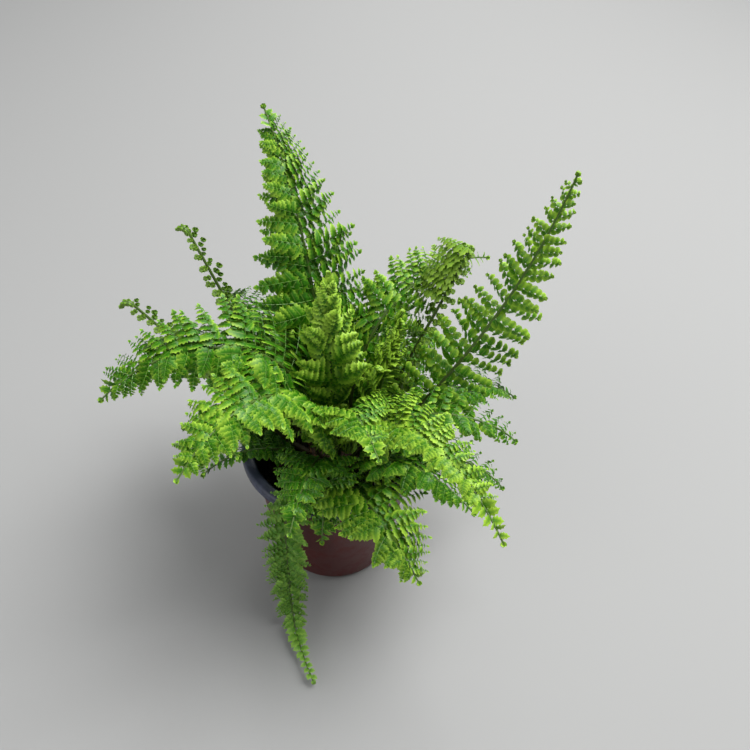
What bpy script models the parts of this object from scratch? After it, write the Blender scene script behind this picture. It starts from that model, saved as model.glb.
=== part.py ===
"""A small ruffled sword fern growing in a round thermoformed nursery pot.

The frame is +Z up with its origin at the middle of the pot's underside, in metres. The pot, the potting
mix and the crown are turned about Z. Every frond is lofted along its own rachis, a curve that leaves
the crown at a set heading, climbs at a set angle and then bows over under its own weight.
"""

import math

import bmesh
import bpy
from mathutils import Quaternion, Vector

# Pot
RIM_RADIUS = 0.030
POT_HEIGHT = 0.052
BASE_RADIUS = 0.0205
WALL = 0.0009
LIP_WIDTH = 0.0032
LIP_DROP = 0.0030
SHOULDER_DROP = 0.0095
SHOULDER_STEP = 0.0007
HEEL_RADIUS = 0.0024
FOOT_WIDTH = 0.0042
PAD_RADIUS = 0.0060
BASE_LIFT = 0.0016
DRAIN_RADIUS = 0.0022
DRAIN_COUNT = 6
DRAIN_TURN = 4
POT_SIDES = 48

# Potting mix and crown
CLEARANCE = 0.0003
MIX_BELOW_RIM = 0.0100
MIX_BUMP = 0.0006
MIX_EDGE_DROP = 0.0015
MIX_SIDES = 36
CROWN_RADIUS = 0.0090
CROWN_HEIGHT = 0.0070
CROWN_SIDES = 20
CROWN_RINGS = 10

# Fronds
STALK_RADIUS = 0.0007
SEAT_GAP = 0.0004
LIP_CLEARANCE = 0.0012
LEAVING_SHARE = 0.16
SEAT_LIFT_SHARE = 0.62
BARE_SHARE = 0.20
TIP_RADIUS = 0.00035
NOTCH_SHARE = 0.42
BLADE_CUP = 0.26
PINNA_SWEEP = 0.30
LOBES = 11
CURL_TURNS = 0.80
CURL_SHARE = 0.11

# name: heading, rise and droop in degrees, length in mm, sweep in degrees, half width in mm, roll in degrees.
# Heading 0 is +X and turns towards +Y. The droop is how far the climb falls from crown to tip, so a
# negative one lifts the tip. The sweep is how far the heading turns, and the roll leans the blade.
FRONDS = {
    "inner_frond_1": (108, 90, 36, 110, 22, 12, 0),
    "inner_frond_2": (6, 52, -26, 119, 0, 12, 55),
    "inner_frond_3": (-72, 94, 98, 72, 0, 10, 0),
    "inner_frond_4": (92, 76, 84, 60, 0, 10, 0),
    "inner_frond_5": (58, 78, 78, 56, 0, 9, 0),
    "middle_frond_1": (202, 104, 142, 102, 10, 12, 0),
    "middle_frond_2": (236, 98, 130, 92, 2, 12, 0),
    "middle_frond_3": (52, 97, 118, 90, -26, 11, 0),
    "middle_frond_4": (-51, 84, 122, 98, -6, 11, 0),
    "middle_frond_5": (-22, 80, 128, 68, 18, 10, 0),
    "middle_frond_6": (124, 60, 96, 76, 8, 10, 0),
    "middle_frond_7": (152, 52, 92, 78, 0, 10, 0),
    "outer_frond_1": (-68, 38, 64, 54, 12, 11, 0),
    "outer_frond_2": (26, 46, 94, 66, -10, 10, 0),
    "outer_frond_3": (-12, 42, 96, 54, 0, 9, 0),
    "outer_frond_4": (203, 57, 100, 40, 0, 7, 0),
    "outer_frond_5": (-92, 57, 124, 34, 0, 6, 0),
    "outer_frond_6": (58, 42, 96, 70, 0, 10, 0),
    "outer_frond_7": (98, 40, 92, 66, 0, 10, 0),
    "outer_frond_8": (136, 42, 90, 62, 0, 9, 0),
    "outer_frond_9": (171, 44, 92, 48, 0, 8, 0),
    "heart_frond_1": (95, 106, 26, 70, 0, 7, 0),
    "heart_frond_2": (145, 80, 0, 60, 0, 5, 40),
    "heart_frond_3": (7, 78, -2, 60, 0, 5, -50),
    "heart_frond_4": (-100, 74, 104, 54, 0, 7, 0),
    "heart_frond_5": (-38, 58, 92, 54, 0, 7, 0),
}

# The frond that hangs over the lip and ends lying on the surface the pot stands on.
HANG_HEADING = -118
HANG_SWEEP = 56
HANG_HALF_WIDTH = 6
HANG_RISE = 60
HANG_CLIMB_DOWN = -84
HANG_CLIMB_LYING = -4
HANG_OVER_PER_REACH = 1.95
HANG_BEND_LENGTH = 0.016
HANG_LYING_LENGTH = 0.015
HANG_REST_HEIGHT = 0.0028
HANG_LIP_CLEARANCE = 0.0006
HANG_OVER_STEP = 0.0005

# name: heading, rise and droop in degrees, length in mm, sweep in degrees, half width in mm, roll in degrees.
YOUNG_FRONDS = {
    "young_frond_1": (158, 67, 2, 94, 0, 3, 0),
    "young_frond_2": (180, 56, 4, 88, 0, 2.5, 0),
    "young_frond_3": (29, 62, 0, 88, 0, 3, 0),
}


def clear_scene():
    for old in list(bpy.data.objects):
        bpy.data.objects.remove(old)


def principled(name, colour, roughness, metallic=0.0):
    material = bpy.data.materials.new(name)
    material.use_nodes = True
    shader = material.node_tree.nodes["Principled BSDF"]
    shader.inputs["Base Color"].default_value = (*colour, 1.0)
    shader.inputs["Roughness"].default_value = roughness
    shader.inputs["Metallic"].default_value = metallic
    return material


def add_object(name, bm, material, smooth_angle=40):
    mesh = bpy.data.meshes.new(name)
    bm.to_mesh(mesh)
    bm.free()
    mesh.shade_smooth()
    mesh.set_sharp_from_angle(angle=math.radians(smooth_angle))
    mesh.materials.append(material)
    made = bpy.data.objects.new(name, mesh)
    bpy.context.scene.collection.objects.link(made)
    return made


def turned(profile, sides):
    """A bmesh turned about Z from (radius, height) points, with poles where the radius is zero."""
    bm = bmesh.new()
    rings = []
    for radius, height in profile:
        if radius == 0:
            rings.append([bm.verts.new((0, 0, height))] * sides)
            continue
        angles = [2 * math.pi * i / sides for i in range(sides)]
        rings.append([bm.verts.new((radius * math.cos(a), radius * math.sin(a), height)) for a in angles])
    for inner, outer in zip(rings, rings[1:] + rings[:1]):
        for i in range(sides):
            j = (i + 1) % sides
            corners = list(dict.fromkeys((inner[i], inner[j], outer[j], outer[i])))
            if len(corners) > 2:
                bm.faces.new(corners)
    bmesh.ops.recalc_face_normals(bm, faces=bm.faces)
    return bm


def arc(centre, radius, start, end, steps):
    """Points on a circle in the profile plane, from start to end in degrees."""
    turns = [math.radians(start + (end - start) * i / steps) for i in range(steps + 1)]
    return [(centre[0] + radius * math.cos(t), centre[1] + radius * math.sin(t)) for t in turns]


def cut(target, cutter):
    """Subtracts the cutter from the target, and hides the cutter."""
    modifier = target.modifiers.new("cut", "BOOLEAN")
    modifier.operation = "DIFFERENCE"
    modifier.object = cutter
    cutter.hide_render = True
    cutter.display_type = "WIRE"


def wall_radius(height):
    """Radius of the pot's outer face below the shoulder."""
    under_shoulder = POT_HEIGHT - SHOULDER_DROP
    top = RIM_RADIUS - LIP_WIDTH - SHOULDER_STEP
    return BASE_RADIUS + (top - BASE_RADIUS) * height / under_shoulder


def make_pot():
    """One sheet: a rolled lip, a stacking shoulder, a tapered wall, and a floor that stands on its outer
    ring and its middle pad, with the drains in the raised channel between them."""
    throat = RIM_RADIUS - LIP_WIDTH
    shoulder = POT_HEIGHT - SHOULDER_DROP
    ring_start = BASE_RADIUS - FOOT_WIDTH
    pad_end = PAD_RADIUS + BASE_LIFT / 2
    heel_centre = (wall_radius(HEEL_RADIUS) - HEEL_RADIUS, HEEL_RADIUS)
    outside = [(0, 0), (PAD_RADIUS, 0), (pad_end, BASE_LIFT), (ring_start, BASE_LIFT)]
    outside += [(ring_start + BASE_LIFT / 2, 0)]
    outside += arc(heel_centre, HEEL_RADIUS, -90, 0, 3)
    outside += [
        (wall_radius(shoulder), shoulder),
        (throat, shoulder + SHOULDER_STEP),
        (throat, POT_HEIGHT - LIP_DROP * 0.8),
        (RIM_RADIUS - WALL, POT_HEIGHT - LIP_DROP),
        (RIM_RADIUS, POT_HEIGHT - LIP_DROP),
    ]
    outside += arc((RIM_RADIUS - WALL, POT_HEIGHT - WALL), WALL, 0, 90, 2)
    inside = arc((throat, POT_HEIGHT - WALL), WALL, 90, 180, 2)
    inside += [
        (throat - WALL, shoulder + SHOULDER_STEP),
        (wall_radius(shoulder) - WALL, shoulder),
    ]
    inside += arc(heel_centre, HEEL_RADIUS - WALL, 0, -90, 2)
    inside += [
        (ring_start + BASE_LIFT / 2, WALL),
        (ring_start, BASE_LIFT + WALL),
        (pad_end, BASE_LIFT + WALL),
        (PAD_RADIUS, WALL),
        (0, WALL),
    ]
    pot = add_object("pot", turned(outside + inside, POT_SIDES), POT_BROWN)
    for i in range(DRAIN_COUNT):
        turn = 2 * math.pi * i / DRAIN_COUNT + math.radians(DRAIN_TURN)
        out = (pad_end + ring_start) / 2
        bm = bmesh.new()
        bmesh.ops.create_cone(
            bm, cap_ends=True, segments=12, radius1=DRAIN_RADIUS, radius2=DRAIN_RADIUS, depth=6 * WALL
        )
        drill = add_object(f"drain_cutter_{i + 1}", bm, POT_BROWN)
        drill.location = (out * math.cos(turn), out * math.sin(turn), BASE_LIFT + WALL / 2)
        cut(pot, drill)
    return pot


def crown_body(name, margin):
    """The crown's rounded knob, grown by a margin all over."""
    bm = bmesh.new()
    bmesh.ops.create_uvsphere(bm, u_segments=CROWN_SIDES, v_segments=CROWN_RINGS, radius=1)
    for vert in bm.verts:
        vert.co.x *= CROWN_RADIUS + margin
        vert.co.y *= CROWN_RADIUS + margin
        vert.co.z = vert.co.z * (CROWN_HEIGHT + margin) + MIX_TOP
    return add_object(name, bm, CROWN_FUZZ)


def make_potting_mix():
    """The mix and the roots in it, filling the pot to below its lip, with a hollow that seats the crown."""
    inside = -WALL - CLEARANCE
    floor = BASE_LIFT + WALL + CLEARANCE
    heel = HEEL_RADIUS + CLEARANCE
    edge = wall_radius(MIX_TOP) + inside
    profile = [
        (0, floor),
        (wall_radius(heel) + inside - HEEL_RADIUS / 2, floor),
        (wall_radius(heel) + inside, floor + HEEL_RADIUS / 2),
        (wall_radius(MIX_TOP - MIX_EDGE_DROP) + inside, MIX_TOP - MIX_EDGE_DROP),
    ]
    profile += [(edge * share, MIX_TOP) for share in (0.97, 0.8, 0.6, 0.4, 0.2)]
    profile += [(0, MIX_TOP)]
    bm = turned(profile, MIX_SIDES)
    for vert in bm.verts:
        if vert.co.z > MIX_TOP - CLEARANCE / 2:
            ripple = math.sin(vert.co.x * 900) * math.cos(vert.co.y * 700 + 1.0)
            vert.co.z += MIX_BUMP * (ripple - 1)
    mix = add_object("potting_mix", bm, PEAT)
    cut(mix, crown_body("crown_cutter", CLEARANCE))
    return mix


def heading_vector(heading, climb):
    heading, climb = math.radians(heading), math.radians(climb)
    return Vector((math.cos(climb) * math.cos(heading), math.cos(climb) * math.sin(heading), math.sin(climb)))


def ease(x):
    x = min(max(x, 0.0), 1.0)
    return x * x * (3 - 2 * x)


def bowed_climb(share, rise, droop):
    return rise - droop * share**BOW_POWER


def curled_climb(share, rise, droop):
    rolled = max(share - 1 + CURL_SHARE, 0) / CURL_SHARE
    return bowed_climb(share, rise, droop) - 360 * CURL_TURNS * rolled


def rachis(heading, rise, droop, length, sweep, roll, stations, climb_at):
    """The rachis as (share of length, point, tangent, side, upper) at each station.

    It leaves the crown square to its surface, eases into its own heading, and climbs by climb_at.
    """
    seat = heading_vector(heading, rise * SEAT_LIFT_SHARE)
    scaled = Vector((seat.x * CROWN_RADIUS**2, seat.y * CROWN_RADIUS**2, seat.z * CROWN_HEIGHT**2))
    reach = math.sqrt(scaled.x * seat.x + scaled.y * seat.y + scaled.z * seat.z)
    point = Vector((0, 0, MIX_TOP)) + scaled / reach + seat * SEAT_GAP
    found, before = [], 0.0

    def tangent_at(share):
        free = heading_vector(heading + sweep * share, climb_at(share, rise, droop))
        return seat.lerp(free, ease(share / LEAVING_SHARE)).normalized()

    for share in stations:
        step = (share - before) / FINE_STEPS
        for i in range(FINE_STEPS):
            point = point + tangent_at(before + step * (i + 0.5)) * length * step
        before = share
        tangent = tangent_at(share)
        turn = math.radians(heading + sweep * share)
        side = Vector((-math.sin(turn), math.cos(turn), 0))
        side = (side - tangent * side.dot(tangent)).normalized()
        side.rotate(Quaternion(tangent, math.radians(roll)))
        found.append((share, point.copy(), tangent, side, tangent.cross(side)))
    return found


def blade_width(share, half_width):
    """Half width of the blade: none on the bare stalk, widest a third of the way up, fine at the tip."""
    along = min((share - BARE_SHARE) / (1 - BARE_SHARE), 1.0)
    if along <= 0:
        return 0.0
    return half_width * min(1.0, 0.45 + along * 2.2) * min(1.0, 1.45 * (1 - along)) ** 0.9


def loft(name, sections, material):
    """A closed body through rings of points, capped at both ends."""
    bm = bmesh.new()
    rings = [[bm.verts.new(p) for p in ring] for ring in sections]
    for low, high in zip(rings, rings[1:]):
        for i in range(len(low)):
            j = (i + 1) % len(low)
            bm.faces.new((low[i], low[j], high[j], high[i]))
    bm.faces.new(rings[0])
    bm.faces.new(rings[-1])
    bmesh.ops.recalc_face_normals(bm, faces=bm.faces)
    return add_object(name, bm, material)


def section(station, width, thick, forward):
    """Six points round the rachis: a thin edge each side, cupped upwards and swept towards the tip."""
    _, point, tangent, side, upper = station
    edge = max(width, thick)
    lift = upper * (edge - thick) * BLADE_CUP + tangent * forward
    across, up = side * thick / 2, upper * thick * 0.87
    return [
        point + side * edge + lift,
        point + across + up,
        point - across + up,
        point - side * edge + lift,
        point - across - up,
        point + across - up,
    ]


def clearing_rise(heading, rise, droop, length, sweep, roll):
    """The rise, steepened where the rachis would otherwise touch the pot's lip on its way out."""
    steps = [i / 40 for i in range(41)]
    while rise < 90:
        spine = rachis(heading, rise, droop, length * MM, sweep, roll, steps, bowed_climb)
        over = [p.z for _, p, _, _, _ in spine if RIM_RADIUS - LIP_WIDTH - WALL < p.xy.length < RIM_RADIUS]
        if not over or min(over) > POT_HEIGHT + LIP_CLEARANCE:
            break
        rise += 1
    return rise


def make_frond(name, heading, rise, droop, length, sweep, half_width, roll, climb_at=bowed_climb):
    """Stalk, rachis and blade in one piece, its edge notched between the pinnae."""
    blade_step = (1 - BARE_SHARE) / (2 * LOBES)
    stations = [0.0, BARE_SHARE / 3, 2 * BARE_SHARE / 3]
    stations += [BARE_SHARE + blade_step * i for i in range(2 * LOBES + 1)]
    spine = rachis(heading, rise, droop, length * MM, sweep, roll, stations, climb_at)
    sections = []
    for i, station in enumerate(spine):
        share = station[0]
        lobe = (i - 3) % 2 == 1
        width = blade_width(share, half_width * MM)
        thick = STALK_RADIUS + (TIP_RADIUS - STALK_RADIUS) * share
        forward = width * PINNA_SWEEP if lobe else 0.0
        sections.append(section(station, width if lobe else width * NOTCH_SHARE, thick, forward))
    return loft(name, sections, LEAF_GREEN)


def make_hanging_frond():
    """A narrow frond that goes over the lip, down past the pot, and lies on what the pot stands on."""
    over = (RIM_RADIUS - CROWN_RADIUS) * HANG_OVER_PER_REACH
    drop = POT_HEIGHT / 2
    fall = HANG_RISE - HANG_CLIMB_DOWN
    steps = [i / 100 for i in range(101)]

    def climb_at(share, rise, droop):
        along = share * (over + drop + HANG_BEND_LENGTH + HANG_LYING_LENGTH)
        bent = ease((along - over - drop) / HANG_BEND_LENGTH)
        return rise - droop * ease(along / over) + (HANG_CLIMB_LYING - HANG_CLIMB_DOWN) * bent

    clear = False
    while not clear:
        for _ in range(HANG_TRIES):
            length = over + drop + HANG_BEND_LENGTH + HANG_LYING_LENGTH
            spine = rachis(HANG_HEADING, HANG_RISE, fall, length, HANG_SWEEP, 0, steps, climb_at)
            drop += spine[-1][1].z - HANG_REST_HEIGHT
        lip = [p.z for _, p, _, _, _ in spine if RIM_RADIUS - LIP_WIDTH - WALL < p.xy.length < RIM_RADIUS]
        clear = min(lip) > POT_HEIGHT + HANG_LIP_CLEARANCE
        if not clear:
            over += HANG_OVER_STEP
    length = over + drop + HANG_BEND_LENGTH + HANG_LYING_LENGTH
    values = (HANG_HEADING, HANG_RISE, fall, length / MM, HANG_SWEEP, HANG_HALF_WIDTH, 0)
    make_frond("hanging_frond", *values, climb_at=climb_at)


def make_young_frond(name, heading, rise, droop, length, sweep, half_width, roll):
    """A narrow frond whose pinnae and tip haven't unrolled yet."""
    straight = 1 - CURL_SHARE
    stations = [0.0] + [straight * (i + 1) / 14 for i in range(14)]
    stations += [straight + CURL_SHARE * (i + 1) / 8 for i in range(8)]
    spine = rachis(heading, rise, droop, length * MM, sweep, roll, stations, curled_climb)
    sections = []
    for i, station in enumerate(spine):
        share = station[0]
        thick = STALK_RADIUS + (TIP_RADIUS - STALK_RADIUS) * share
        lobe = i % 2 == 1 and BARE_SHARE * 1.6 < share < straight
        width = half_width * MM * (1.3 - 0.7 * share) if lobe else thick
        sections.append(section(station, width, thick, 0.0))
    return loft(name, sections, YOUNG_GREEN)


MM = 0.001
FINE_STEPS = 4
BOW_POWER = 1.3
HANG_TRIES = 6
MIX_TOP = POT_HEIGHT - MIX_BELOW_RIM

clear_scene()
POT_BROWN = principled("pot_brown", (0.10, 0.018, 0.014), 0.35)
PEAT = principled("peat", (0.016, 0.011, 0.008), 0.95)
CROWN_FUZZ = principled("crown_fuzz", (0.12, 0.10, 0.03), 0.8)
LEAF_GREEN = principled("leaf_green", (0.13, 0.32, 0.03), 0.45)
YOUNG_GREEN = principled("young_green", (0.20, 0.34, 0.05), 0.45)

make_pot()
crown_body("crown", 0.0)
make_potting_mix()
for frond_name, (heading, rise, droop, length, sweep, half_width, roll) in FRONDS.items():
    rise = clearing_rise(heading, rise, droop, length, sweep, roll)
    make_frond(frond_name, heading, rise, droop, length, sweep, half_width, roll)
make_hanging_frond()
for frond_name, values in YOUNG_FRONDS.items():
    make_young_frond(frond_name, *values)
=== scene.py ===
import math
import random

import bpy
import numpy as np
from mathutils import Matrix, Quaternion, Vector


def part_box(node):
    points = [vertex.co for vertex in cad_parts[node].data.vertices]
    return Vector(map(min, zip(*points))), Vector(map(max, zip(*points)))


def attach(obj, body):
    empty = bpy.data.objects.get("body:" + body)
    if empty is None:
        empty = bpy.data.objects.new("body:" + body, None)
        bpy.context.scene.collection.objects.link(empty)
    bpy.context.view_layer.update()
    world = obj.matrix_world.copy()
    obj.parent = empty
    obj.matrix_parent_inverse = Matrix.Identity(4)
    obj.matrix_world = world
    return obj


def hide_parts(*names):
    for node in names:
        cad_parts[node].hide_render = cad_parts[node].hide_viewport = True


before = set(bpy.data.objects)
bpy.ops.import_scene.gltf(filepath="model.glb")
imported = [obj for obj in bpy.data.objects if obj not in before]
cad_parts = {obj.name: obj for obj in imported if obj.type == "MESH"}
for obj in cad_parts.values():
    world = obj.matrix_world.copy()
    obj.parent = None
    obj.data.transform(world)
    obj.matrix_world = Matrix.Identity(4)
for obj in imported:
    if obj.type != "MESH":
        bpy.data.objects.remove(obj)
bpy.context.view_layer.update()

# ---- Studio ----
# A matt, pale paper floor in a bright, even room, under one large softbox and two weaker ones.
# The plant is looked down on from the front, as it is when held up to be inspected.

MM = 0.001


def from_hex(code):
    """An sRGB hex colour as linear RGBA."""
    channels = [int(code[i : i + 2], 16) / 255 for i in (1, 3, 5)]
    linear = [c / 12.92 if c <= 0.04045 else ((c + 0.055) / 1.055) ** 2.4 for c in channels]
    return (*linear, 1.0)


def add_node(tree, kind, settings=None, links=None):
    """A node with its properties or socket values set, and links given as {input: output socket}."""
    node = tree.nodes.new(kind)
    for key, value in (settings or {}).items():
        if isinstance(key, str) and hasattr(node, key):
            setattr(node, key, value)
        else:
            node.inputs[key].default_value = value
    for key, socket in (links or {}).items():
        tree.links.new(socket, node.inputs[key])
    return node


def new_material(name):
    """An empty node material, its tree and its output node."""
    material = bpy.data.materials.new(name)
    material.use_nodes = True
    material.node_tree.nodes.clear()
    return material, material.node_tree, add_node(material.node_tree, "ShaderNodeOutputMaterial")


def add_noise(tree, **settings):
    """Noise in the piece's own object space."""
    place = add_node(tree, "ShaderNodeTexCoord")
    return add_node(tree, "ShaderNodeTexNoise", settings, {"Vector": place.outputs["Object"]})


def add_relief(tree, strength, depth, noise):
    """A noise node's pattern as fine relief, this deep."""
    settings = {"Strength": strength, "Distance": depth}
    return add_node(tree, "ShaderNodeBump", settings, {"Height": noise.outputs["Fac"]})


def add_surface(tree, output, settings, links):
    """The material's Principled shader, joined to its output."""
    shader = add_node(tree, "ShaderNodeBsdfPrincipled", settings, links)
    tree.links.new(shader.outputs[0], output.inputs["Surface"])


def add_ramp(tree, value, stops):
    """A Color Ramp node with these (position, hex colour) stops."""
    node = add_node(tree, "ShaderNodeValToRGB", None, {"Fac": value})
    ramp = node.color_ramp
    while len(ramp.elements) < len(stops):
        ramp.elements.new(0.5)
    for element, (position, code) in zip(ramp.elements, stops):
        element.position = position
        element.color = from_hex(code)
    return node


def deselect_all():
    for thing in bpy.context.selected_objects:
        thing.select_set(False)


def set_mode(mode):
    bpy.ops.object.mode_set(mode=mode)


FLOOR_GREY = "#9d9d9c"
FLOOR_SIZE = 6.0
ROOM_LIGHT = "#eef1f4"
ROOM_STRENGTH = 0.34

deselect_all()
bpy.ops.mesh.primitive_plane_add(size=FLOOR_SIZE, location=(0, 0, 0))
floor = bpy.context.object
floor.name = "paper_floor"
paper, tree, output = new_material("matt_paper")
matt = {"Base Color": from_hex(FLOOR_GREY), "Roughness": 0.9, "Specular IOR Level": 0.2}
add_surface(tree, output, matt, None)
floor.data.materials.append(paper)

world = bpy.data.worlds.new("bright_room")
bpy.context.scene.world = world
world.use_nodes = True
background = world.node_tree.nodes["Background"]
background.inputs["Color"].default_value = from_hex(ROOM_LIGHT)
background.inputs["Strength"].default_value = ROOM_STRENGTH

# name: place (m), size (m) and power (W) of each softbox, all aimed at the middle of the plant
SOFTBOXES = {
    "key_softbox": ((0.35, 0.10, 0.85), 0.6, 12.0),
    "fill_softbox": ((-0.7, -0.5, 0.55), 0.8, 2.4),
    "rim_softbox": ((0.1, 0.8, 0.5), 0.5, 3.0),
}
AIM = Vector((0, 0, 0.07))
for name, (place, size, power) in SOFTBOXES.items():
    light = bpy.data.lights.new(name, "AREA")
    light.shape = "SQUARE"
    light.size = size
    light.energy = power
    lamp = bpy.data.objects.new(name, light)
    lamp.location = place
    lamp.rotation_euler = (AIM - Vector(place)).to_track_quat("-Z", "Y").to_euler()
    bpy.context.scene.collection.objects.link(lamp)

CAMERA_TARGET = Vector((0.0134, 0.0313, 0.052))
CAMERA_DISTANCE = 0.290
CAMERA_ELEVATION = math.radians(44)
CAMERA_ROLL = math.radians(1.5)
CAMERA_LENS_MM = 38.9
CAMERA_SENSOR_MM = 36
CAMERA_NEAREST = 0.01
backwards = Vector((0, -math.cos(CAMERA_ELEVATION), math.sin(CAMERA_ELEVATION)))
camera_data = bpy.data.cameras.new("camera")
camera_data.lens = CAMERA_LENS_MM
camera_data.sensor_width = CAMERA_SENSOR_MM
camera_data.clip_start = CAMERA_NEAREST
camera = bpy.data.objects.new("camera", camera_data)
camera.location = CAMERA_TARGET + backwards * CAMERA_DISTANCE
upright = backwards.to_track_quat("Z", "Y")
camera.rotation_euler = (Quaternion(backwards, CAMERA_ROLL) @ upright).to_euler()
bpy.context.scene.collection.objects.link(camera)
bpy.context.scene.camera = camera
bpy.context.scene.view_settings.view_transform = "Standard"


# ---- Pot ----
# A 6 cm starter pot, vacuum-formed from one thin two-layer plastic sheet: black inside and over the
# rolled lip, with a painted blue-grey sky reflection in that black, and terracotta outside, made darker by
# painted shade. It stands on its outer ring and its middle pad.

RIM_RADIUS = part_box("pot")[1][0]
POT_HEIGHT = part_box("pot")[1][2]
BASE_RADIUS = 20.5 * MM
WALL = 0.7 * MM
LIP_WIDTH = 3.2 * MM
LIP_DROP = 3.0 * MM
LIP_ROLL = LIP_DROP * 0.45
SHOULDER_DROP = 9.5 * MM
SHOULDER_STEP = 0.7 * MM
PAD_RADIUS = 6.0 * MM
BASE_LIFT = 1.6 * MM
FOOT_WIDTH = 4.2 * MM
HEEL_RADIUS = 2.4 * MM
HEEL_TURN = (-80, -8)
ARC_STEPS = 5
DRAIN_RADIUS = 2.2 * MM
DRAIN_COUNT = 6
DRAIN_TURN = math.radians(4)
DRAIN_SIDES = 24
POT_SIDES = 128
POT_SHARP_EDGE = 38


def arc(centre, radius, start, end):
    """Points of an arc in the profile, from one angle in degrees to another."""
    turns = [math.radians(start + (end - start) * i / ARC_STEPS) for i in range(ARC_STEPS + 1)]
    return [(centre[0] + radius * math.cos(t), centre[1] + radius * math.sin(t)) for t in turns]


def apply_modifiers(thing):
    deselect_all()
    thing.select_set(True)
    bpy.context.view_layer.objects.active = thing
    for modifier in list(thing.modifiers):
        bpy.ops.object.modifier_apply(modifier=modifier.name)


def add_swelling(thing, name, size, height, level):
    """Cloudy lumps of this size and height on the surface, not applied yet."""
    clouds = bpy.data.textures.new(name, "CLOUDS")
    clouds.noise_scale = size
    swell = thing.modifiers.new(name, "DISPLACE")
    swell.texture = clouds
    swell.texture_coords = "LOCAL"
    swell.strength = height
    swell.mid_level = level
    return swell


throat = RIM_RADIUS - LIP_WIDTH - WALL
shoulder = POT_HEIGHT - SHOULDER_DROP
wall_top = throat - SHOULDER_STEP
ring_start = BASE_RADIUS - FOOT_WIDTH
drain_out = (PAD_RADIUS + BASE_LIFT / 2 + ring_start) / 2
# radius and height of the sheet's inner skin, from the middle of the floor out and up over the lip
inner_skin = [
    (PAD_RADIUS * 0.5, WALL),
    (PAD_RADIUS - 0.3 * MM, WALL),
    (PAD_RADIUS, WALL + 0.1 * MM),
    (PAD_RADIUS + BASE_LIFT / 2, BASE_LIFT + WALL),
    (ring_start, BASE_LIFT + WALL),
    (ring_start + BASE_LIFT / 2, WALL),
]
inner_skin += arc((BASE_RADIUS - WALL - HEEL_RADIUS, HEEL_RADIUS + WALL), HEEL_RADIUS, *HEEL_TURN)
inner_skin += [
    (BASE_RADIUS - WALL + (wall_top - BASE_RADIUS + WALL) * 0.5, shoulder * 0.5),
    (wall_top, shoulder),
    (wall_top + SHOULDER_STEP * 0.4, shoulder + 0.2 * MM),
    (throat, shoulder + 0.8 * MM),
    (throat, POT_HEIGHT - LIP_ROLL - 1.0 * MM),
]
inner_skin += arc((throat + LIP_ROLL, POT_HEIGHT - LIP_ROLL), LIP_ROLL, 180, 90)
inner_skin += arc((RIM_RADIUS - LIP_ROLL, POT_HEIGHT - LIP_ROLL), LIP_ROLL, 90, 0)
inner_skin += [(RIM_RADIUS, POT_HEIGHT - LIP_DROP)]

deselect_all()
radius, height = inner_skin[0]
bpy.ops.mesh.primitive_circle_add(
    vertices=POT_SIDES, radius=radius, fill_type="TRIFAN", location=(0, 0, height), enter_editmode=True
)
pot = bpy.context.object
pot.name = "pot_shell"
set_mode("OBJECT")
bpy.ops.object.transform_apply(location=True, rotation=False, scale=False)
set_mode("EDIT")
bpy.ops.mesh.select_mode(type="EDGE")
bpy.ops.mesh.select_all(action="SELECT")
bpy.ops.mesh.region_to_loop()
for next_radius, next_height in inner_skin[1:]:
    bpy.ops.mesh.extrude_edges_move(TRANSFORM_OT_translate={"value": (0, 0, next_height - height)})
    ratio = next_radius / radius
    bpy.ops.transform.resize(value=(ratio, ratio, 1), center_override=(0, 0, next_height))
    radius, height = next_radius, next_height
bpy.ops.mesh.select_all(action="SELECT")
bpy.ops.mesh.normals_make_consistent(inside=True)
set_mode("OBJECT")


def sheet_plastic(name, colour, worn_colour, roughness):
    """High-impact polystyrene sheet: a soft sheen, faint draw lines down the wall, scuffs and dust."""
    material, tree, output = new_material(name)
    place = add_node(tree, "ShaderNodeTexCoord")
    # tightly spaced round the pot and long up its wall
    draw = add_node(tree, "ShaderNodeMapping", {"Scale": (420, 420, 30)}, {"Vector": place.outputs["Object"]})
    fine = {"Scale": 1.0, "Detail": 3.0}
    lines = add_node(tree, "ShaderNodeTexNoise", fine, {"Vector": draw.outputs["Vector"]})
    dust = add_noise(tree, Scale=190.0, Detail=6.0, Roughness=0.68)
    spread = add_ramp(tree, dust.outputs["Fac"], [(0.46, "#000000"), (0.78, "#ffffff")])
    colours = {"data_type": "RGBA", 6: from_hex(colour), 7: from_hex(worn_colour)}
    colour_mix = add_node(tree, "ShaderNodeMix", colours, {0: spread.outputs["Color"]})
    dull = {"To Min": roughness, "To Max": roughness + 0.28}
    sheen = add_node(tree, "ShaderNodeMapRange", dull, {"Value": spread.outputs["Color"]})
    ridge = add_relief(tree, 0.25, 0.15 * MM, lines)
    looks = {"Base Color": colour_mix.outputs[2], "Roughness": sheen.outputs[0], "Normal": ridge.outputs[0]}
    add_surface(tree, output, {"IOR": 1.59}, looks)
    return material


# The black inside and lip read as depth, with a painted blue-grey sky reflection in their colour; the
# outside is a terracotta red made deeper by painted shade.
pot.data.materials.append(sheet_plastic("black_polystyrene_painted_sky_reflection", "#30364a", "#545b75", 0.42))
pot.data.materials.append(sheet_plastic("terracotta_polystyrene_painted_shade", "#4c0805", "#5e1610", 0.42))

# The inner skin's normals point into the pot, so the sheet gets its thickness outwards.
middle = max(pot.data.polygons, key=lambda f: f.center.z if f.center.xy.length < wall_top * 1.02 else -1)
if middle.normal.xy.dot(middle.center.xy) > 0:
    pot.data.flip_normals()
sheet = pot.modifiers.new("sheet", "SOLIDIFY")
sheet.thickness = WALL
sheet.offset = -1
sheet.use_even_offset = True
sheet.material_offset = 1
apply_modifiers(pot)

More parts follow.
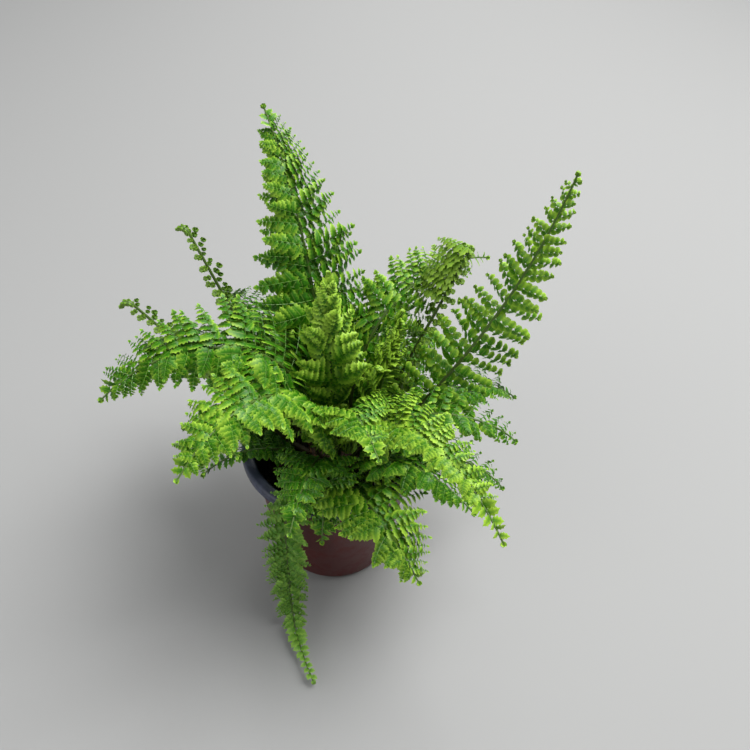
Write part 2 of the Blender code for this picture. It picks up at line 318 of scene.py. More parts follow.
for i in range(DRAIN_COUNT):
    turn = 2 * math.pi * i / DRAIN_COUNT + DRAIN_TURN
    deselect_all()
    bpy.ops.mesh.primitive_cylinder_add(
        vertices=DRAIN_SIDES,
        radius=DRAIN_RADIUS,
        depth=8 * WALL,
        location=(drain_out * math.cos(turn), drain_out * math.sin(turn), BASE_LIFT + WALL / 2),
    )
    drill = bpy.context.object
    hole = pot.modifiers.new("drain", "BOOLEAN")
    hole.operation = "DIFFERENCE"
    hole.object = drill
    apply_modifiers(pot)
    bpy.data.objects.remove(drill)
pot.data.shade_smooth()
pot.data.set_sharp_from_angle(angle=math.radians(POT_SHARP_EDGE))
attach(pot, "root")
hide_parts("pot")


# ---- Potting mix ----
# Damp dark peat with bark fibres, settled about a centimetre below the lip, and a few crumbs of white
# perlite. It is modelled as a lumpy plug with loose crumbs lying on it.

MIX_BELOW_LIP = 10.0 * MM
MIX_TOP = POT_HEIGHT - MIX_BELOW_LIP
MIX_LOW, MIX_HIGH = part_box("potting_mix")
MIX_RADIUS = MIX_HIGH[0]
MIX_FOOT_RADIUS = BASE_RADIUS - WALL * 2 - HEEL_RADIUS / 2
MIX_SIDES = 72
MIX_RINGS = 15
MIX_SHARP_EDGE = 70
LUMP_SIZE = 3.2 * MM
LUMP_HEIGHT = 3.0 * MM
LUMP_LEVEL = 0.75
LUMP_DEPTH = 3

deselect_all()
bpy.ops.mesh.primitive_cylinder_add(
    vertices=MIX_SIDES,
    radius=MIX_RADIUS,
    depth=MIX_TOP - MIX_LOW[2],
    location=(0, 0, (MIX_TOP + MIX_LOW[2]) / 2),
)
peat = bpy.context.object
peat.name = "peat_plug"
bpy.ops.object.transform_apply(location=True, rotation=False, scale=False)
set_mode("EDIT")
bpy.ops.mesh.select_mode(type="FACE")
bpy.ops.mesh.select_all(action="DESELECT")
set_mode("OBJECT")
for face in peat.data.polygons:
    face.select = face.normal.z > 0.9
set_mode("EDIT")
for _ in range(MIX_RINGS):
    bpy.ops.mesh.inset(thickness=MIX_RADIUS / (MIX_RINGS + 1), depth=0)
bpy.ops.mesh.poke()
set_mode("OBJECT")
shrink = MIX_FOOT_RADIUS / MIX_RADIUS
for vertex in peat.data.vertices:
    if vertex.co.z < MIX_TOP - MM:
        vertex.co.x *= shrink
        vertex.co.y *= shrink
swell = add_swelling(peat, "lumps", LUMP_SIZE, LUMP_HEIGHT, LUMP_LEVEL)
swell.texture.noise_depth = LUMP_DEPTH
swell.direction = "Z"
group = peat.vertex_groups.new(name="top")
top = [v.index for v in peat.data.vertices if v.co.z > MIX_TOP - MM and v.co.xy.length < MIX_RADIUS * 0.99]
group.add(top, 1.0, "REPLACE")
swell.vertex_group = "top"
apply_modifiers(peat)
peat.data.shade_smooth()
peat.data.set_sharp_from_angle(angle=math.radians(MIX_SHARP_EDGE))


def crumbly(name, dark, light, grain_mm, roughness, bump):
    """Something broken up and matt: noise at the grain's own size in both colour and relief."""
    material, tree, output = new_material(name)
    grain = add_noise(tree, Scale=1 / (grain_mm * MM), Detail=8.0, Roughness=0.7)
    tint = add_ramp(tree, grain.outputs["Fac"], [(0.35, dark), (0.72, light)])
    relief = add_relief(tree, bump, grain_mm * MM, grain)
    looks = {"Base Color": tint.outputs["Color"], "Normal": relief.outputs[0]}
    add_surface(tree, output, {"Roughness": roughness}, looks)
    return material


# Damp peat is nearly black, so the depth between the fronds stays dark.
peat.data.materials.append(crumbly("damp_peat", "#080504", "#20160f", 0.8, 0.85, 0.9))
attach(peat, "root")
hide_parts("potting_mix")


def add_object(name, mesh, materials, sharp_degrees):
    """The scene's object for a mesh, shaded smooth up to this angle."""
    mesh.shade_smooth()
    mesh.set_sharp_from_angle(angle=math.radians(sharp_degrees))
    for material in materials:
        mesh.materials.append(material)
    made = bpy.data.objects.new(name, mesh)
    bpy.context.scene.collection.objects.link(made)
    return made


def mesh_object(name, points, faces, material, sharp_degrees):
    """An object of one material, from lists of points and faces."""
    mesh = bpy.data.meshes.new(name)
    mesh.from_pydata([tuple(p) for p in points], [], faces)
    return add_object(name, mesh, [material], sharp_degrees)


CRUMB_REACH = 0.96  # share of the mix's radius that crumbs lie within
CRUMB_LEVEL_MM = (-0.8, 0.6)
CRUMB_SHARP_EDGE = 50
KNOB_SPREAD = (0.7, 1.25)
SQUASHES = ((0.7, 1.7), (0.6, 1.0), (0.4, 0.8))


def crumbs(name, count, size_mm, material, seed):
    """Loose lumps on the mix: one rough lump, copied at its own size, turn and squash each time."""
    dice = random.Random(seed)
    deselect_all()
    bpy.ops.mesh.primitive_ico_sphere_add(subdivisions=1, radius=1)
    lump = bpy.context.object
    shape = np.array([v.co[:] for v in lump.data.vertices])
    corners = [tuple(f.vertices) for f in lump.data.polygons]
    bpy.data.objects.remove(lump)
    points, faces = [], []
    for _ in range(count):
        out = MIX_RADIUS * CRUMB_REACH * math.sqrt(dice.random())
        turn = dice.uniform(0, 2 * math.pi)
        size = dice.uniform(*size_mm) * MM
        knobs = np.array([dice.uniform(*KNOB_SPREAD) for _ in shape])
        body = shape * knobs[:, None] * [dice.uniform(*squash) for squash in SQUASHES]
        spin = Quaternion([dice.gauss(0, 1) for _ in range(4)]).normalized()
        body = body @ np.array(spin.to_matrix()).T * size
        base = len(points)
        level = MIX_TOP + dice.uniform(*CRUMB_LEVEL_MM) * MM
        points.extend(body + np.array([out * math.cos(turn), out * math.sin(turn), level]))
        faces.extend(tuple(base + c for c in corner) for corner in corners)
    piece = mesh_object(name, points, faces, material, CRUMB_SHARP_EDGE)
    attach(piece, "root")


# Bark breaks up the mix with brown, and perlite gives its few bright specks.
crumbs("bark_crumbs", 420, (0.5, 1.5), crumbly("bark", "#1a100a", "#4a3424", 1.0, 0.8, 0.6), 11)
crumbs("perlite_crumbs", 16, (0.5, 1.0), crumbly("perlite", "#b9b5ac", "#efece4", 0.6, 0.9, 0.5), 12)


# ---- Crown ----
# The short upright rhizome that every frond grows from. It is a knobbly brown lump that stands just
# out of the mix, covered in thin papery chaff scales.

CROWN_RADIUS = 9.0 * MM
CROWN_HEIGHT = 7.0 * MM
CROWN_SHAPE = np.array([CROWN_RADIUS, CROWN_RADIUS, CROWN_HEIGHT])
KNOB_SIZE = 2.6 * MM
KNOB_HEIGHT = 1.6 * MM
KNOB_LEVEL = 0.6

deselect_all()
bpy.ops.mesh.primitive_uv_sphere_add(segments=48, ring_count=24, radius=1, location=(0, 0, 0))
crown = bpy.context.object
crown.name = "rhizome"
crown.scale = CROWN_SHAPE
crown.location = (0, 0, MIX_TOP)
bpy.ops.object.transform_apply(location=True, rotation=False, scale=True)
add_swelling(crown, "knobs", KNOB_SIZE, KNOB_HEIGHT, KNOB_LEVEL)
apply_modifiers(crown)
crown.data.shade_smooth()
# The rhizome is a rough mid-brown that shows only between the stalks.
crown.data.materials.append(crumbly("rhizome_bark", "#1d130b", "#54402a", 0.9, 0.85, 0.8))
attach(crown, "root")
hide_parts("crown")

CHAFF_COUNT = 150
CHAFF_MM = (1.6, 3.4)
CHAFF_UP = (0.1, 0.95)  # how high on the crown, as a share of its height
CHAFF_LEAN, CHAFF_RISE = 0.5, 0.9
CHAFF_SHARP_EDGE = 60
CHAFF_SEAT = 0.93  # share of the crown's size that a scale's base is at
# one scale, 1 long: a kite that is a little thick along its middle
KITE = np.array([(0, 0, 0), (0.35, 0.16, 0), (0.35, -0.16, 0), (1, 0, 0.1), (0.4, 0, 0.05), (0.4, 0, -0.03)])
KITE_FACES = [(0, 4, 1), (1, 4, 3), (3, 4, 2), (2, 4, 0), (0, 1, 5), (1, 3, 5), (3, 2, 5), (2, 0, 5)]
dice = random.Random(13)
points, faces = [], []
for _ in range(CHAFF_COUNT):
    around, up = dice.uniform(0, 2 * math.pi), dice.uniform(*CHAFF_UP)
    out = math.sqrt(1 - up * up)
    seat = np.array([math.cos(around) * out, math.sin(around) * out, up])
    lean = [dice.uniform(-CHAFF_LEAN, CHAFF_LEAN), dice.uniform(-CHAFF_LEAN, CHAFF_LEAN), CHAFF_RISE]
    axis = seat + lean
    axis /= np.linalg.norm(axis)
    across = np.cross(axis, seat)
    across /= np.linalg.norm(across)
    body = KITE @ np.array([axis, across, np.cross(axis, across)]) * dice.uniform(*CHAFF_MM) * MM
    base = len(points)
    points.extend(body + seat * CROWN_SHAPE * CHAFF_SEAT + [0, 0, MIX_TOP])
    faces.extend(tuple(base + c for c in corner) for corner in KITE_FACES)
# Dry papery scales: tan flecks that catch the light over the dark rhizome.
chaff_paper = crumbly("chaff_paper", "#3a2413", "#9a7446", 1.2, 0.75, 0.4)
chaff = mesh_object("chaff_scales", points, faces, chaff_paper, CHAFF_SHARP_EDGE)
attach(chaff, "root")


# ---- Fronds ----
# Sword fern fronds, twice divided: a wiry rachis, a row of pinnae down each side, and on all but the
# shortest pinnae a double row of small toothed or coin-shaped pinnules. Leaf tissue is thin, faintly
# glossy and lets light through.

SEAT_GAP = 0.4 * MM
SEAT_LIFT_SHARE = 0.62
LEAVING_SHARE = 0.16  # share of the length over which a rachis turns from its seat to its own way
BOW_POWER = 1.3
CURL_TURNS = 0.80
CURL_SHARE = 0.11
STALK_RADIUS = 0.7 * MM
TIP_RADIUS = 0.35 * MM
TIP_STEM_SHARE = 0.7
RACHIS_STEPS = 160


def heading_vector(heading, climb):
    """The direction that has this heading and climb, both in degrees."""
    turn, up = math.radians(heading), math.radians(climb)
    return Vector((math.cos(turn) * math.cos(up), math.sin(turn) * math.cos(up), math.sin(up)))


def ease(x):
    """A smooth step from 0 to 1."""
    x = min(max(x, 0.0), 1.0)
    return x * x * (3 - 2 * x)


def bowed_climb(share, rise, droop):
    """Climb in degrees at a share of the length: it bows over, most of all near its end."""
    return rise - droop * share**BOW_POWER


def curled_climb(share, rise, droop):
    """As bowed, with the last part rolled up like the end of a fiddlehead."""
    return bowed_climb(share, rise, droop) - 360 * CURL_TURNS * max(share - 1 + CURL_SHARE, 0) / CURL_SHARE


def rachis(heading, rise, droop, length, sweep, roll, climb_at):
    """Arrays of point, tangent, side and upper along the rachis, from its seat on the crown to its tip."""
    seat = heading_vector(heading, rise * SEAT_LIFT_SHARE)
    scaled = Vector((seat.x * CROWN_RADIUS**2, seat.y * CROWN_RADIUS**2, seat.z * CROWN_HEIGHT**2))
    point = Vector((0, 0, MIX_TOP)) + scaled / math.sqrt(scaled.dot(seat)) + seat * SEAT_GAP

    def tangent_at(share):
        free = heading_vector(heading + sweep * share, climb_at(share, rise, droop))
        return seat.lerp(free, ease(share / LEAVING_SHARE)).normalized()

    found = []
    for i in range(RACHIS_STEPS + 1):
        share = i / RACHIS_STEPS
        if i:
            point = point + tangent_at(share - 0.5 / RACHIS_STEPS) * length / RACHIS_STEPS
        tangent = tangent_at(share)
        turn = math.radians(heading + sweep * share)
        side = Vector((-math.sin(turn), math.cos(turn), 0))
        side = (side - tangent * side.dot(tangent)).normalized()
        side.rotate(Quaternion(tangent, math.radians(roll)))
        found.append((*point, *tangent, *side, *tangent.cross(side)))
    return np.array(found)


def along(table, share):
    """Rows of a table of stations, read at any share of the length."""
    at = np.clip(np.asarray(share, dtype=float), 0, 1) * (len(table) - 1)
    low = np.minimum(at.astype(int), len(table) - 2)
    part = (at - low)[..., None]
    return table[low] * (1 - part) + table[low + 1] * part


def frame_at(table, share):
    """One row of a rachis table: its point, tangent, side and upper."""
    return np.split(along(table, np.array([share]))[0], 4)


def unit(v):
    return v / np.maximum(np.linalg.norm(v, axis=-1, keepdims=True), 1e-9)


FOOT_REACH, FOOT_GROWTH = 0.5, 2.2
TIP_REACH, TIP_POWER = 1.5, 0.65
SHORTEST_PINNA = 2.4 * MM


def pinna_reach(up_frond, longest):
    """Length of a pinna: half at the foot of the blade, longest a quarter to a third up, short at the tip."""
    foot, tip = min(1.0, FOOT_REACH + up_frond * FOOT_GROWTH), min(1.0, TIP_REACH * (1 - up_frond))
    return max(longest * foot * tip**TIP_POWER, SHORTEST_PINNA)


# Rows across one pinnule: how far along it, and half its width, as shares of its length. A toothed
# one widens and narrows in turn, a coin-shaped one is round, and a broad one has more and finer teeth.
TOOTHED_ROWS = [
    (0.0, 0.05), (0.15, 0.33), (0.22, 0.21), (0.42, 0.36), (0.49, 0.22), (0.69, 0.28),
    (0.76, 0.14), (1.0, 0.0),
]
ROUNDED_ROWS = [
    (0.0, 0.05), (0.13, 0.30), (0.24, 0.29), (0.42, 0.43), (0.54, 0.38), (0.74, 0.38),
    (0.88, 0.24), (1.0, 0.0),
]
BROAD_ROWS = [
    (0.0, 0.05), (0.10, 0.25), (0.16, 0.18), (0.28, 0.27), (0.34, 0.19), (0.46, 0.26),
    (0.52, 0.18), (0.64, 0.22), (0.70, 0.14), (0.82, 0.15), (0.87, 0.08), (1.0, 0.0),
]
SMALL_ROWS = [(0.0, 0.08), (0.30, 0.30), (0.66, 0.25), (1.0, 0.0)]
PINNULE_CROWN = 0.045
PINNULE_THICK = 0.045
PINNULE_WELD = 0.001
PINNULE_LEAST_EDGE = 0.0001


def model_pinnule(rows):
    """One pinnule, lying along +X with its upper face up: a closed leaf, thickest at its vein.

    Gives its points and faces, and for each point whether it is on the margin and on the lower face.
    """
    deselect_all()
    bpy.ops.mesh.primitive_grid_add(x_subdivisions=len(rows) - 1, y_subdivisions=2, size=1)
    leaf = bpy.context.object
    old = sorted({round(v.co.x, 5) for v in leaf.data.vertices})
    for vertex in leaf.data.vertices:
        place, half = rows[old.index(round(vertex.co.x, 5))]
        crowned = vertex.co.y == 0 and 0 < place < 1
        vertex.co = (place, vertex.co.y * 2 * half, PINNULE_CROWN if crowned else 0)
    set_mode("EDIT")
    bpy.ops.mesh.select_all(action="SELECT")
    bpy.ops.mesh.duplicate()
    bpy.ops.mesh.flip_normals()
    set_mode("OBJECT")
    for vertex in leaf.data.vertices:
        if vertex.select and vertex.co.z > 0:
            vertex.co.z -= PINNULE_THICK
    set_mode("EDIT")
    bpy.ops.mesh.select_all(action="SELECT")
    bpy.ops.mesh.remove_doubles(threshold=PINNULE_WELD)
    bpy.ops.mesh.dissolve_degenerate(threshold=PINNULE_LEAST_EDGE)
    bpy.ops.mesh.quads_convert_to_tris()
    set_mode("OBJECT")
    points = np.array([v.co[:] for v in leaf.data.vertices])
    faces = np.array([f.vertices[:] for f in leaf.data.polygons])
    bpy.data.objects.remove(leaf)
    edge = (np.abs(points[:, 1]) > PINNULE_WELD) * 1.0
    under = ((points[:, 2] > 0) & (points[:, 2] < PINNULE_CROWN - PINNULE_THICK / 2)) * 1.0
    return points, faces, edge, under


TOOTHED = model_pinnule(TOOTHED_ROWS)
BROAD = model_pinnule(BROAD_ROWS)
ROUNDED = model_pinnule(ROUNDED_ROWS)
SMALL = model_pinnule(SMALL_ROWS)


def copies_of(leaf, place, axis, normal, length, width, bend):
    """Copies of a pinnule at their places. Each is bent down by its own angle from base to tip."""
    points, faces, edge, under = leaf
    axis = unit(axis)
    normal = unit(normal - axis * np.sum(normal * axis, axis=1, keepdims=True))
    across = np.cross(normal, axis)
    x, y, z = points[:, 0][None], points[:, 1][None] * width[:, None], points[:, 2][None]
    turn = bend[:, None] * x
    small = np.abs(bend[:, None]) < 1e-3
    safe = np.where(small, 1.0, bend[:, None])
    run = np.where(small, x, np.sin(turn) / safe) + z * np.sin(turn)
    rise = np.where(small, 0.0, (np.cos(turn) - 1) / safe) + z * np.cos(turn)
    size = length[:, None]
    shaped = (
        place[:, None]
        + axis[:, None] * (run * size)[..., None]
        + across[:, None] * (y * size)[..., None]
        + normal[:, None] * (rise * size)[..., None]
    )
    count = len(place)
    all_faces = (faces[None] + (np.arange(count) * len(points))[:, None, None]).reshape(-1, 3)
    marks = np.stack([np.tile(points[:, 0], count), np.tile(edge, count), np.tile(under, count)], axis=1)
    return shaped.reshape(-1, 3), all_faces, marks


def tube(points, side, upper, radius, sides=6):
    """A closed round stem through the points."""
    turns = np.arange(sides) * 2 * math.pi / sides
    ring = np.cos(turns)[None, :, None] * side[:, None] + np.sin(turns)[None, :, None] * upper[:, None]
    skin = (points[:, None] + ring * radius[:, None, None]).reshape(-1, 3)
    faces = []
    for i in range(len(points) - 1):
        for j in range(sides):
            a, b = i * sides + j, i * sides + (j + 1) % sides
            faces += [(a, b, b + sides), (a, b + sides, a + sides)]
    ends = np.array([points[0], points[-1]])
    low, high, last = len(skin), len(skin) + 1, (len(points) - 1) * sides
    for j in range(sides):
        k = (j + 1) % sides
        faces += [(k, j, low), (last + j, last + k, high)]
    return np.concatenate([skin, ends]), np.array(faces)


def stem_wax(name, low, high, roughness):
    """A stalk's skin: smooth and faintly waxy, browner and duller towards the crown."""
    material, tree, output = new_material(name)
    marks = add_node(tree, "ShaderNodeAttribute", {"attribute_name": "leaf"})
    split = add_node(tree, "ShaderNodeSeparateColor", None, {"Color": marks.outputs["Color"]})
    tint = add_ramp(tree, split.outputs["Red"], [(0.0, low), (0.6, high)])
    grain = add_noise(tree, Scale=1800.0, Detail=3.0)
    relief = add_relief(tree, 0.3, 0.1 * MM, grain)
    looks = {"Base Color": tint.outputs["Color"], "Normal": relief.outputs[0]}
    add_surface(tree, output, {"Roughness": roughness}, looks)
    return material


LOWER_FACE = "#86a06a"


def leaf_tissue(name, deep, middle, bright, vein, glow):
    """Thin living leaf with light coming through: deepest by the vein, yellower to the margin and tip, partly
    its own colour and partly painted shade by the vein and a painted highlight at the margin.
    """
    material, tree, output = new_material(name)
    marks = add_node(tree, "ShaderNodeAttribute", {"attribute_name": "leaf"})
    split = add_node(tree, "ShaderNodeSeparateColor", None, {"Color": marks.outputs["Color"]})
    mottle = add_noise(tree, Scale=700.0, Detail=4.0)
    # how yellow it is: how far along the pinnule and how near its margin (partly a painted highlight at the
    # tip and margin, and painted shade at the base), the pinnule's tone (partly painted shade on the low and
    # inner fronds), and a mottle
    along_it, near_edge, tone_and_painted_shade = (split.outputs[channel] for channel in ("Red", "Green", "Blue"))
    total = None
    mottled = mottle.outputs["Fac"]
    for weight, socket in ((0.40, along_it), (0.30, near_edge), (0.52, tone_and_painted_shade), (0.22, mottled)):
        links = {0: socket, 2: total.outputs[0]} if total else {0: socket}
        total = add_node(tree, "ShaderNodeMath", {"operation": "MULTIPLY_ADD", 1: weight, 2: 0.0}, links)
    tint = add_ramp(tree, total.outputs[0], [(0.22, deep), (0.63, middle), (1.0, bright)])
    fade = {"From Min": 0.0, "From Max": 0.16, "To Min": 0.55, "To Max": 0.0}
    on_vein = add_node(tree, "ShaderNodeMapRange", fade, {"Value": near_edge})
    to_vein = {"data_type": "RGBA", 7: from_hex(vein)}
    veined = add_node(tree, "ShaderNodeMix", to_vein, {0: on_vein.outputs[0], 6: tint.outputs["Color"]})
    part = {"operation": "MULTIPLY", 1: 0.45}
    beneath = add_node(tree, "ShaderNodeMath", part, {0: marks.outputs["Alpha"]})
    to_lower = {"data_type": "RGBA", 7: from_hex(LOWER_FACE)}
    under = add_node(tree, "ShaderNodeMix", to_lower, {0: beneath.outputs[0], 6: veined.outputs[2]})
    relief = add_relief(tree, 0.35, 0.12 * MM, mottle)
    gloss = add_node(tree, "ShaderNodeMapRange", {"To Min": 0.34, "To Max": 0.52}, {"Value": mottled})
    colour, normal = under.outputs[2], relief.outputs[0]
    looks = {"Base Color": colour, "Roughness": gloss.outputs[0], "Normal": normal}
    skin = add_node(tree, "ShaderNodeBsdfPrincipled", {"IOR": 1.40}, looks)
    inside = add_node(tree, "ShaderNodeBsdfTranslucent", None, {"Color": colour, "Normal": normal})
    leaf = add_node(tree, "ShaderNodeMixShader", {0: glow}, {1: skin.outputs[0], 2: inside.outputs[0]})
    tree.links.new(leaf.outputs[0], output.inputs["Surface"])
    return material


# Wiry stalks are brown at the crown and green above. Midribs are thinner and a fresh green.
RACHIS_SKIN = stem_wax("rachis_skin", "#2a2412", "#4d6a24", 0.42)
MIDRIB_SKIN = stem_wax("midrib_skin", "#3c5f1a", "#5f8a2c", 0.45)
# Grown leaves run from a deep green by the vein to a bright yellow-green margin, partly their own colour and
# partly painted shade by the vein and a painted highlight at the margin. Those in the shade of the rest get a
# duller, more even copy, lifted in its darks as painted light, and those still opening are olive.
FROND_TISSUE = leaf_tissue("frond_tissue", "#052e03", "#3f860a", "#b8e048", "#94bc4c", 0.28)
SHADED_TISSUE = leaf_tissue("shaded_frond_tissue", "#2a5c12", "#5a9a28", "#9cc854", "#98b86c", 0.32)
YOUNG_TISSUE = leaf_tissue("young_frond_tissue", "#38600f", "#64961f", "#a6cc48", "#b0cc78", 0.32)

LEAF_SLOT, RACHIS_SLOT, MIDRIB_SLOT = 0, 1, 2
KNOB_SPREAD_OUT = 1.1
KNOB_BEND, TUFT_BEND = -2.6, 0.4  # radians from base to tip
TUFT_WIDTH = 1.3

MIDRIB_STATIONS = 9
MIDRIB_SIDES = 4
MIDRIB_RADII_MM = (0.13, 0.05)
MIDRIB_BELOW_MM = 0.08
MIDRIB_MARK = 0.7

TOOTHED_SPACING, TOOTHED_TAPER = 0.45, 0.55
COIN_SPACING, COIN_TAPER = 0.70, 0.42
TOOTHED_TUFT, TOOTHED_TUFT_LEAVES = 0.26, 1
COIN_TUFT, COIN_TUFT_LEAVES = 0.5, 4
FIRST_PINNULE, LAST_PINNULE = 0.05, 0.96  # shares of a pinna's length
PINNA_TUFT = 0.985
FOOT_PINNULE, PINNULE_GROWTH, LEAST_PINNULE = 0.80, 1.4, 0.25
LEAST_STEP = 0.18  # between pinnules, and between the two rows' starts, in lengths of a pinnule
SMALL_PINNULE = 1.7 * MM  # one shorter than this has no teeth
BROAD_PINNULE = 4.4 * MM  # one longer than this has more teeth

# how each pinnule is turned, in degrees, and by how much it may differ from its neighbours
LEAN, LEAN_MORE, LEAN_SPREAD = 20, 26, 9  # towards its pinna's tip
TILT, TILT_SPREAD = 42, 16  # back on the one behind it, like a louvre
HANG, HANG_SPREAD = 20, 14  # down below its pinna
CURL, CURL_FOOT, CURL_SPREAD = 0.5, 0.35, (0.1, 0.6)  # radians it bends from base to tip
PINNULE_SIZES, PINNULE_WIDTHS = (0.88, 1.12), (0.95, 1.2)
PINNULE_TONES, TONE_GROWTH = 0.14, 0.12


def add_leaves(parts, leaf, place, axis, face, size, width, bend, tones):
    """Adds copies of a pinnule. Their marks are: along, near the margin, tone, and on the lower face."""
    points, faces, marks = copies_of(leaf, place, axis, face, size, width, bend)
    shades = np.repeat(tones, len(leaf[0]))
    parts.append((points, faces, np.column_stack([marks[:, :2], shades, marks[:, 2]]), LEAF_SLOT))


def add_tuft(parts, station, size, tone, count, leaf=SMALL):
    """The end of a pinna or frond: one small pinnule, or several rolled together into a knob."""
    place, forward, normal, side = np.split(station, 4)
    axis, face, bend = forward[None], normal[None], TUFT_BEND
    if count > 1:
        turns = np.arange(count) * 2 * math.pi / count
        ring = side * np.cos(turns)[:, None] + normal * np.sin(turns)[:, None]
        axis, face, bend = forward + ring * KNOB_SPREAD_OUT, -ring + forward * KNOB_SPREAD_OUT, KNOB_BEND
    each = np.ones(count)
    values = (each * size, each * TUFT_WIDTH, each * bend, each * tone)
    add_leaves(parts, leaf, np.tile(place, (count, 1)), axis, face, *values)


def lay_pinna(dice, parts, base, run, up, length, leaf, pinnule, tone, tilt, hang, sag):
    """One pinna: its midrib, a pinnule each side at every step, and one or a few at its end."""
    coins = leaf is ROUNDED
    spread = np.linspace(0, 1, MIDRIB_STATIONS)[:, None]
    heading = unit(run[None] - up[None] * sag * spread)
    strides = heading[:-1] * length / (MIDRIB_STATIONS - 1)
    line = base[None] + np.concatenate([[np.zeros(3)], np.cumsum(strides, axis=0)])
    facing = unit(up[None] - heading * (heading @ up)[:, None])
    across = np.cross(facing, heading)
    rib = np.linspace(*MIDRIB_RADII_MM, MIDRIB_STATIONS) * MM
    points, faces = tube(line - facing * MIDRIB_BELOW_MM * MM, across, facing, rib, MIDRIB_SIDES)
    marks = np.tile([MIDRIB_MARK, 0.0, tone, 0.0], (len(points), 1))
    parts.append((points, faces, marks, MIDRIB_SLOT))
    table = np.concatenate([line, heading, facing, across], axis=1)
    spacing = COIN_SPACING if coins else TOOTHED_SPACING
    at, places = FIRST_PINNULE, []
    while at < LAST_PINNULE:
        taper = 1 - COIN_TAPER * at if coins else (1 - at) ** TOOTHED_TAPER
        size = pinnule * min(1.0, FOOT_PINNULE + at * PINNULE_GROWTH) * taper
        places.append((at, max(size, LEAST_PINNULE * pinnule)))
        at += max(spacing * size, LEAST_STEP * pinnule) / length
    shares, sizes = np.array(places).T
    for hand in (-1, 1):
        share = shares + (0.0 if hand < 0 else LEAST_STEP * pinnule / length)
        size = sizes * np.array([dice.uniform(*PINNULE_SIZES) for _ in places])
        row = along(table, share)
        place, forward, normal, side = row[:, :3], row[:, 3:6], row[:, 6:9], row[:, 9:]
        lean = [LEAN + LEAN_MORE * s + dice.uniform(-LEAN_SPREAD, LEAN_SPREAD) for s in shares]
        fall = [hang + dice.uniform(-HANG_SPREAD, HANG_SPREAD) for _ in places]
        roll = [tilt + dice.uniform(-TILT_SPREAD, TILT_SPREAD) for _ in places]
        lean, fall, roll = (np.radians(degrees)[:, None] for degrees in (lean, fall, roll))
        axis = side * hand * np.cos(lean) + forward * np.sin(lean)
        axis = axis * np.cos(fall) - normal * np.sin(fall)
        face = normal * np.cos(roll) + forward * np.sin(roll)
        bend = np.array([CURL * (CURL_FOOT + s) + dice.uniform(*CURL_SPREAD) for s in shares])
        width = np.array([dice.uniform(*PINNULE_WIDTHS) for _ in places])
        tones = [tone + dice.uniform(-PINNULE_TONES, PINNULE_TONES) + TONE_GROWTH * s for s in shares]
        tones = np.array(tones)
        small = size < SMALL_PINNULE
        broad = (size > BROAD_PINNULE) & (leaf is TOOTHED)
        for shape, chosen in ((leaf, ~small & ~broad), (SMALL, small), (BROAD, broad)):
            if chosen.any():
                values = (v[chosen] for v in (place, axis, face, size, width, bend, tones))
                add_leaves(parts, shape, *values)
    end = along(table, np.array([PINNA_TUFT]))[0]
    share, count = (COIN_TUFT, COIN_TUFT_LEAVES) if coins else (TOOTHED_TUFT, TOOTHED_TUFT_LEAVES)
    add_tuft(parts, end, share * pinnule, tone + 0.1, count)


LEAF_SHARP_EDGE = 55


def join_parts(name, parts, materials):
    """One smooth-shaded mesh object from (points, faces, marks, material) parts."""
    points = np.concatenate([p[0] for p in parts])
    starts = np.cumsum([0] + [len(p[0]) for p in parts[:-1]])
    faces = np.concatenate([p[1] + s for p, s in zip(parts, starts)])
    slots = np.concatenate([np.full(len(p[1]), p[3]) for p in parts])
    mesh = bpy.data.meshes.new(name)
    mesh.vertices.add(len(points))
    mesh.vertices.foreach_set("co", points.astype(np.float32).ravel())
    mesh.loops.add(faces.size)
    mesh.loops.foreach_set("vertex_index", faces.astype(np.int32).ravel())
    mesh.polygons.add(len(faces))
    mesh.polygons.foreach_set("loop_start", np.arange(0, faces.size, 3, dtype=np.int32))
    mesh.update(calc_edges=True)
    made = add_object(name, mesh, materials, LEAF_SHARP_EDGE)
    mesh.polygons.foreach_set("material_index", slots.astype(np.int32))
    layer = mesh.attributes.new("leaf", "FLOAT_COLOR", "POINT")
    layer.data.foreach_set("color", np.concatenate([p[2] for p in parts]).astype(np.float32).ravel())
    return made


STEM_SIDES = 8


def grow_stem(table, shares, radius, tint):
    """The points, faces and marks of a stalk through these shares of a rachis table."""
    row = along(table, shares)
    points, faces = tube(row[:, :3], row[:, 6:9], row[:, 9:], radius, STEM_SIDES)
    marks = np.zeros((len(points), 4))
    marks[: len(shares) * STEM_SIDES, 0] = np.repeat(tint, STEM_SIDES)
    return points, faces, marks


STEM_STATIONS = 41
LEAFY_SHARE = 0.12  # share of the stalk that is bare
FIRST_PINNA = {-1: 0.03, 1: 0.012}  # how far above that the first pinna on each side is
LAST_PINNA = 0.985
FROND_TUFT, FROND_TUFT_SIZE, FROND_TUFT_LEAVES = 0.995, 2.2 * MM, 3

PINNA_PITCH = 4.9 * MM
TIP_PITCH = 1.9 * MM
PITCH_POWER = 1.3
PITCH_LEAST, PITCH_FULL_REACH = 0.25, 28 * MM
FAN_PITCH = 5.2 * MM  # between the pinnae of the young upright fronds, which point up like a fan
COIN_PITCH = 5.0 * MM  # on a frond with coin-shaped pinnules
COIN_TIP_PITCH = 3.4 * MM

PINNA_REACHES = (0.92, 1.08)
PINNA_FORWARD, FAN_FORWARD, MORE_FORWARD, FORWARD_SPREAD = 12, 52, 30, 7
LIFT_SPREAD, TWIST_SPREAD = 16, 26
FAN_TILT, COIN_TILT = 50, 14
COIN_SHORTER = 0.86
SAG_SHARE, SAG_SPREAD = 0.7, (0.1, 0.4)
FRESHER, FRESH_SPREAD = 0.22, 0.08
# a pinnule's length: a share of its pinna's, and a fixed part
TOOTHED_LENGTH, COIN_LENGTH = (0.39, 0.7 * MM), (0.16, 1.5 * MM)

